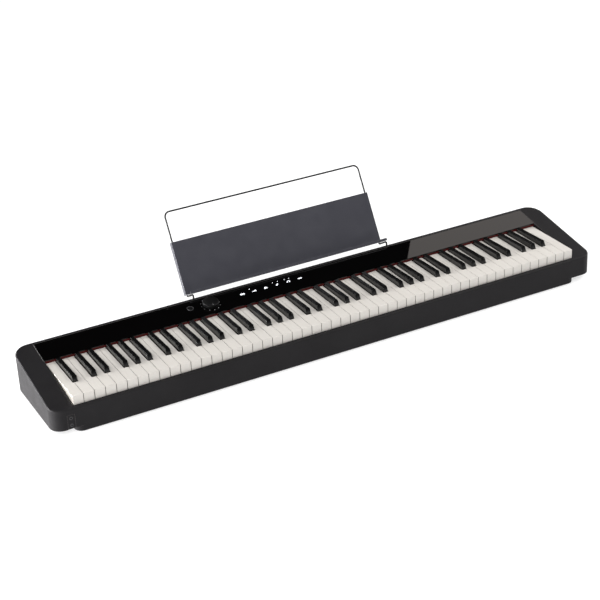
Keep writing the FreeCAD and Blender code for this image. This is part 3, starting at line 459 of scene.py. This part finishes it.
def ring(mesh, centre, inner, outer, low, high, place, count=48, part=1.0, start=0.0):
    """Adds a closed flat ring, or part of one, between two heights."""
    whole = part >= 1.0
    steps = count if whole else count + 1
    loops = []
    for i in range(steps):
        turn = start + 2 * math.pi * part * i / count
        c, s = math.cos(turn), math.sin(turn)
        corners = ((inner, low), (outer, low), (outer, high), (inner, high))
        loops.append([mesh.verts.new(place(centre[0] + reach * c, centre[1] + reach * s, height))
                      for reach, height in corners])
    pairs = list(zip(loops, loops[1:]))
    if whole:
        pairs.append((loops[-1], loops[0]))
    for one, other in pairs:
        walls(mesh, one, other)
    if not whole:
        mesh.faces.new(loops[0])
        mesh.faces.new(loops[-1])


# ------------------------------------------------------------------- pieces

FELT_STEPS = 160
FELT_SIDES = 12
FELT_SQUARENESS = 0.75


def felt_strip(name, low, high, body, slot, replaces=()):
    """A long felt strip with crowned sides that swell and thin a little, inside the box low..high."""
    mesh = bmesh.new()
    middle = (low + high) / 2
    half = (high - low) / 2
    loops = []
    for i in range(FELT_STEPS + 1):
        x = low.x + (high.x - low.x) * i / FELT_STEPS
        swell = 0.93 + 0.05 * math.sin(i * 1.7) + 0.02 * math.sin(i * 4.3)
        rise = 0.97 + 0.03 * math.sin(i * 0.9)
        loop = []
        for k in range(FELT_SIDES):
            turn = 2 * math.pi * (k + 0.5) / FELT_SIDES
            c, s = math.cos(turn), math.sin(turn)
            reach = 1 + FELT_SQUARENESS * (1 / max(abs(c), abs(s)) - 1)
            y = middle.y + half.y * swell * max(-1, min(1, c * reach))
            z = middle.z + half.z * rise * max(-1, min(1, s * reach))
            loop.append(mesh.verts.new((x, y, z)))
        loops.append(loop)
    for one, other in zip(loops, loops[1:]):
        walls(mesh, one, other)
    mesh.faces.new(loops[0])
    mesh.faces.new(loops[-1])
    smooth(piece(name, mesh, body, slot, replaces))


# Heights of the two cushions, which the CAD holds in one node.
CUSHION_LEVELS = ((0.0120, 0.0157), (0.0588, 0.0615))


def make_felts():
    """The red strip behind the keys and the two long cushions the hammers land on."""
    low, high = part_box("key_felt")
    felt_strip("felt_strip", low, high, "case", "key_felt", ["key_felt"])
    low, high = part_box("hammer_cushions")
    for index, (bottom, top) in enumerate(CUSHION_LEVELS):
        under = Vector((low.x, low.y, bottom))
        over = Vector((high.x, high.y, top))
        felt_strip(f"cushion_{index}", under, over, "case", "cushion", ["hammer_cushions"])


PANEL_HALF = 0.615
PANEL_ROWS = (0.1656, 0.2266)
PANEL_THICK = 0.0025
PANEL_EDGE = 0.0005
PANEL_CORNER = 0.0015
STEM_HOLE = 0.0035
POWER_HOLE = 0.0058
WINDOW = (0.012, 0.007)
WINDOW_CORNER = 0.0004
ICON_COUNT = 6


def make_panel():
    """The gloss panel: a chamfered plate with holes for the knob, the power button and the windows."""
    mesh = bmesh.new()
    middle = (0, sum(PANEL_ROWS) / 2)
    deep = PANEL_ROWS[1] - PANEL_ROWS[0]

    def level(outline, lift):
        return [mesh.verts.new(on_panel(x, along, lift)) for x, along in outline]

    full = rounded(middle, 2 * PANEL_HALF, deep, PANEL_CORNER)
    inset = rounded(middle, 2 * (PANEL_HALF - PANEL_EDGE), deep - 2 * PANEL_EDGE,
                    PANEL_CORNER - PANEL_EDGE / 2)
    upper = level(inset, 0)
    shoulder = level(full, -PANEL_EDGE)
    lower = level(full, -PANEL_THICK)
    walls(mesh, upper, shoulder)
    walls(mesh, shoulder, lower)
    holes = [circle((KNOB_X, KNOB_ROW), STEM_HOLE, 24), circle((POWER_X, POWER_ROW), POWER_HOLE, 36)]
    for kind in range(ICON_COUNT):
        holes.append(rounded((ICON_FIRST + kind * ICON_PITCH, ICON_ROW), *WINDOW, WINDOW_CORNER, 2))
    tops = [level(hole, 0) for hole in holes]
    bottoms = [level(hole, -PANEL_THICK) for hole in holes]
    for above, under in zip(tops, bottoms):
        walls(mesh, above, under)
    fill(mesh, [upper] + tops)
    fill(mesh, [lower] + bottoms)
    piece("gloss_panel", mesh, "case", "panel", ["touch_panel"])


# Radius and height above the panel, from the foot of the stem up and over the rim.
KNOB_PROFILE = ((0.0028, -0.0101), (0.00295, -0.0098), (0.00295, 0.0004), (0.0035, 0.0006),
                (0.0168, 0.0006), (0.0176, 0.0009), (0.0179, 0.0014), (0.0179, 0.0068),
                (0.0178, 0.0076), (0.0173, 0.0084), (0.0165, 0.0089), (0.0158, 0.00895),
                (0.0150, 0.0086), (0.0090, 0.0083), (0.0030, 0.0082))
KNOB_RIBS = 60
STEPS_PER_RIB = 4
RIB_DEPTH = 0.00035
RIBBED_HEIGHTS = (0.0012, 0.0078)
RIBBED_RADIUS = 0.017
POINTER_REACH = 0.0122
POINTER_SIZE = (0.0009, 0.0042)
POINTER_CORNER = 0.0004
POINTER_HEIGHTS = (0.0083, 0.00885)


def make_knob():
    """The volume knob: a ribbed rim and a dished top with a small pointer."""
    mesh = bmesh.new()
    around = KNOB_RIBS * STEPS_PER_RIB
    loops = []
    for radius, height in KNOB_PROFILE:
        ribbed = RIBBED_HEIGHTS[0] < height < RIBBED_HEIGHTS[1] and radius > RIBBED_RADIUS
        loop = []
        for i in range(around):
            turn = 2 * math.pi * i / around
            between = i % STEPS_PER_RIB >= STEPS_PER_RIB / 2
            reach = radius - (RIB_DEPTH if ribbed and between else 0)
            x = KNOB_X + reach * math.cos(turn)
            along = KNOB_ROW + reach * math.sin(turn)
            loop.append(mesh.verts.new(on_panel(x, along, height)))
        loops.append(loop)
    for lower, upper in zip(loops, loops[1:]):
        walls(mesh, lower, upper)
    mesh.faces.new(loops[0])
    mesh.faces.new(loops[-1])
    smooth(piece("ribbed_knob", mesh, "volume_knob", "knob", ["volume_knob"]))
    mesh = bmesh.new()
    mark = rounded((KNOB_X, KNOB_ROW - POINTER_REACH), *POINTER_SIZE, POINTER_CORNER)
    slab(mesh, mark, *POINTER_HEIGHTS, on_panel)
    piece("knob_pointer", mesh, "volume_knob", "knob", look="print")


# Places (x, z) of the jacks, and the radius of their bores.
PHONE_PLACES = ((-0.622, 0.039), (-0.622, 0.023))
PHONE_BORE = 0.0018
LINE_PLACES = ((-0.445, 0.027), (-0.420, 0.027), (-0.395, 0.027))
LINE_BORE = 0.0032
RIM_WIDE = 0.0007
RIM_HEIGHTS = (-0.0002, 0.00015)


def jack_rims(name, places, bore, y, outward):
    """Thin plated rims round the mouths of a row of jacks whose faces lie at that y."""
    mesh = bmesh.new()

    def place(x, z, out):
        return (x, y + outward * out, z)

    for centre in places:
        ring(mesh, centre, bore, bore + RIM_WIDE, *RIM_HEIGHTS, place, 32)
    smooth(piece(name, mesh, "case", "socket", look="dark_rim"))


def make_jack_rims():
    jack_rims("phone_rims", PHONE_PLACES, PHONE_BORE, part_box("headphone_jacks")[0].y, -1)
    jack_rims("line_rims", LINE_PLACES, LINE_BORE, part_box("rear_jacks")[1].y, 1)


PRINT_LOW = 0.00002
PRINT_HIGH = 0.00012


def print_marks(name, outlines, look=None):
    """Thin printed or lit shapes lying on the gloss panel."""
    mesh = bmesh.new()
    for outline in outlines:
        slab(mesh, outline, PRINT_LOW, PRINT_HIGH, on_panel)
    piece(name, mesh, "case", "icon", look=look)


def icon_shapes(x, y, kind):
    """One generic lit symbol about 11 mm wide round (x, y)."""
    mm = 0.001
    if kind == 0:                       # three keys
        return [rounded((x + dx * mm, y), 2.8 * mm, 4.6 * mm, 0.5 * mm) for dx in (-3.6, 0, 3.6)]
    if kind == 1:                       # rising steps
        steps = ((-4, 1.6), (-1.3, 2.6), (1.4, 3.8), (4.1, 5.0))
        return [rounded((x + dx * mm, y + (h - 4) * mm / 2), 1.9 * mm, h * mm, 0.4 * mm) for dx, h in steps]
    if kind == 2:                       # pendulum box
        return [[(x - 4.4 * mm, y - 2.4 * mm), (x + 4.4 * mm, y - 2.4 * mm),
                 (x + 2.2 * mm, y + 2.6 * mm), (x - 2.2 * mm, y + 2.6 * mm)]]
    if kind == 3:                       # one note
        head = circle((x - 1.2 * mm, y - 1.4 * mm), 1.5 * mm, wide=1.5)
        stem = rounded((x + 0.7 * mm, y + 0.8 * mm), 0.9 * mm, 4.4 * mm, 0.3 * mm)
        flag = rounded((x + 2.4 * mm, y + 2.3 * mm), 2.6 * mm, 1.1 * mm, 0.4 * mm)
        return [head, stem, flag]
    if kind == 4:                       # two notes
        shapes = []
        for dx in (-3.0, 2.2):
            shapes.append(circle((x + (dx - 0.6) * mm, y - 1.6 * mm), 1.2 * mm, wide=1.4))
            shapes.append(rounded((x + (dx + 0.9) * mm, y + 0.6 * mm), 0.8 * mm, 3.6 * mm, 0.3 * mm))
        shapes.append(rounded((x + 0.5 * mm, y + 2.8 * mm), 6.2 * mm, 0.7 * mm, 0.3 * mm))
        return shapes
    heights = (2.0, 4.4, 3.0, 5.0, 2.4)  # sound bars
    return [rounded((x + (i - 2) * 2.2 * mm, y), 1.3 * mm, h * mm, 0.4 * mm) for i, h in enumerate(heights)]


LAMP_RADIUS = 0.0009


def make_icons():
    """The six lit symbols in their windows, and the small lamps behind them."""
    outlines = []
    for kind in range(ICON_COUNT):
        outlines += icon_shapes(ICON_FIRST + kind * ICON_PITCH, ICON_ROW, kind)
    print_marks("lit_symbols", outlines)
    print_marks("lit_lamps", [circle((x, LAMP_ROW), LAMP_RADIUS, 16) for x in LAMP_PLACES])


TICK_COUNT = 11
TICK_START = math.radians(-240)
TICK_PITCH = math.radians(30)
TICK_INNER = 0.0200
TICK_OUTER = 0.0224
LONG_TICK = 0.0008
TICK_HALF = 0.00045
POWER_RING = (0.0063, 0.0071)
RING_HIGH = 0.00032
SYMBOL_RING = (0.0018, 0.0023)
SYMBOL_HEIGHTS = (0.0006, 0.0007)
SYMBOL_OPENING = math.radians(80)
SYMBOL_BAR = (0.0005, 0.0022)
SYMBOL_BAR_UP = 0.0019
SYMBOL_BAR_CORNER = 0.0002


def make_dials():
    """Tick marks round the volume knob, and the power button's ring and symbol."""
    ticks = []
    for i in range(TICK_COUNT):
        turn = TICK_START + TICK_PITCH * i
        outer = TICK_OUTER + (LONG_TICK if i % 5 == 0 else 0)
        c, s = math.cos(turn), math.sin(turn)
        corners = ((TICK_INNER, -TICK_HALF), (outer, -TICK_HALF),
                   (outer, TICK_HALF), (TICK_INNER, TICK_HALF))
        ticks.append([(KNOB_X + r * c - w * s, KNOB_ROW + r * s + w * c) for r, w in corners])
    print_marks("volume_scale", ticks, look="print")
    centre = (POWER_X, POWER_ROW)
    mesh = bmesh.new()
    ring(mesh, centre, *POWER_RING, PRINT_LOW, RING_HIGH, on_panel)
    piece("power_ring", mesh, "case", "icon", look="faint_print")
    mesh = bmesh.new()
    part = 1 - SYMBOL_OPENING / (2 * math.pi)
    start = (math.pi + SYMBOL_OPENING) / 2
    ring(mesh, centre, *SYMBOL_RING, *SYMBOL_HEIGHTS, on_panel, 32, part, start)
    bar = rounded((POWER_X, POWER_ROW + SYMBOL_BAR_UP), *SYMBOL_BAR, SYMBOL_BAR_CORNER)
    slab(mesh, bar, *SYMBOL_HEIGHTS, on_panel)
    piece("power_symbol", mesh, "power_button", "icon", look="faint_print")


# ------------------------------------------------------------ studio, camera

CAMERA_AZIMUTH = math.radians(-26.909)
CAMERA_ELEVATION = math.radians(27.167)
CAMERA_ROLL = math.radians(-2.845)
CAMERA_DISTANCE = 3.3811
CAMERA_TARGET = Vector((-0.04213, -0.0627, 0.0898))
CAMERA_LENS = 93.19


def make_camera():
    """A long lens from the front left and above, rolled a little, as solved from the keyboard."""
    a, e, r = CAMERA_AZIMUTH, CAMERA_ELEVATION, CAMERA_ROLL
    back = Vector((math.sin(a) * math.cos(e), -math.cos(a) * math.cos(e), math.sin(e)))
    right = Vector((math.cos(a), math.sin(a), 0))
    up = back.cross(right)
    across = right * math.cos(r) + up * math.sin(r)
    above = up * math.cos(r) - right * math.sin(r)
    data = bpy.data.cameras.new("camera")
    data.lens = CAMERA_LENS
    data.sensor_width = 36
    data.clip_end = 60
    camera = bpy.data.objects.new("camera", data)
    bpy.context.scene.collection.objects.link(camera)
    place = Matrix((across, above, back)).transposed().to_4x4()
    place.translation = CAMERA_TARGET + back * CAMERA_DISTANCE
    camera.matrix_world = place
    bpy.context.scene.camera = camera


FLOOR_HEIGHT = -0.0003
FLOOR_HALF = 9
FLOOR_GLOW = 0.62


def make_floor():
    """A pale floor that glows a little, like a lit studio table, so that it stays pale far away."""
    mesh = bmesh.new()
    for sx, sy in ((-1, -1), (1, -1), (1, 1), (-1, 1)):
        mesh.verts.new((sx * FLOOR_HALF, sy * FLOOR_HALF, FLOOR_HEIGHT))
    mesh.faces.new(mesh.verts)
    data = bpy.data.meshes.new("floor")
    mesh.to_mesh(data)
    mesh.free()
    floor = bpy.data.objects.new("floor", data)
    bpy.context.scene.collection.objects.link(floor)
    paper = Shader("studio_paper", (0.50, 0.50, 0.50), 0.9, specular=0.1)
    paper.surface.inputs["Emission Color"].default_value = (1, 1, 1, 1)
    paper.surface.inputs["Emission Strength"].default_value = FLOOR_GLOW
    paper.relief(paper.noise(300), 0.0002, 0.2)
    data.materials.append(paper.material)


def area_light(name, place, target, wide, deep, power, colour=(1, 1, 1)):
    """A rectangular light of that size in metres and power in watts, aimed at target."""
    data = bpy.data.lights.new(name, "AREA")
    data.shape = "RECTANGLE"
    data.size = wide
    data.size_y = deep
    data.energy = power
    data.color = colour
    light = bpy.data.objects.new(name, data)
    bpy.context.scene.collection.objects.link(light)
    light.location = place
    light.rotation_mode = "QUATERNION"
    light.rotation_quaternion = (Vector(target) - Vector(place)).to_track_quat("-Z", "Y")
    return light


# The card is seen in the gloss panel's right part; its left edge draws the boundary there.
CARD_CENTRE = (2.678, 1.659, 2.6)
CARD_TURN = math.radians(-37)


def make_light():
    """Soft lights in front, behind and to the right, a pale card beyond the right end, a dark ceiling."""
    area_light("key_light", (-2.6, -4.0, 4.4), (-0.1, 0, 0.05), 3.0, 3.0, 300)
    area_light("rear_left", (-3.0, 2.6, 2.2), (-0.9, 0.4, 0), 2.0, 2.0, 130)
    area_light("left_strip", (-2.2, 0.5, 0.10), (-0.66, 0.05, 0.06), 1.6, 0.16, 160)
    area_light("right_fill", (3.0, -0.6, 4.6), (1.0, 0.3, 0), 2.4, 2.4, 100)
    area_light("right_low", (2.9, -0.1, 1.3), (1.0, 0.0, 0), 1.4, 1.4, 45)
    card = area_light("pale_card", CARD_CENTRE, (0, 0, 0), 1.6, 3.0, 17, (1, 0.93, 0.89))
    card.rotation_quaternion = Matrix.Rotation(CARD_TURN, 4, "Z").to_quaternion()
    make_sky()


def make_sky():
    """Pale at the horizon and dark above, so that the gloss panel stays black."""
    world = bpy.data.worlds.new("studio")
    world.use_nodes = True
    tree = world.node_tree
    sky = tree.nodes["Background"]
    direction = tree.nodes.new("ShaderNodeTexCoord")
    split = tree.nodes.new("ShaderNodeSeparateXYZ")
    ramp = tree.nodes.new("ShaderNodeValToRGB")
    horizon, ceiling = ramp.color_ramp.elements
    horizon.color = (0.60, 0.60, 0.61, 1)
    ceiling.position = 0.30
    ceiling.color = (0.01, 0.01, 0.011, 1)
    tree.links.new(direction.outputs["Generated"], split.inputs["Vector"])
    tree.links.new(split.outputs["Z"], ramp.inputs["Fac"])
    tree.links.new(ramp.outputs["Color"], sky.inputs["Color"])
    bpy.context.scene.world = world


# -------------------------------------------------------------------- build

# Radius of the soft edges, for the slots whose CAD nodes are shown as they are.
EDGE_ROUND = {"white_key": 0.0006, "black_key": 0.0007, "rest_sheet": 0.0003}


def dress_nodes():
    """Gives every CAD node its material, and soft edges where they are seen from near."""
    for name, node in nodes.items():
        slot = slot_of_node[name]
        look = "smoked" if slot == "icon" else slot
        for place in node.material_slots:
            place.link = "OBJECT"
            place.material = materials[look].material
        if slot in EDGE_ROUND:
            soften(node, EDGE_ROUND[slot])


materials = make_materials()
smoothing = smooth_group()

dress_nodes()
make_felts()
make_panel()
make_knob()
make_jack_rims()
make_icons()
make_dials()
make_floor()
make_light()
make_camera()
bpy.context.scene.view_settings.view_transform = "Standard"
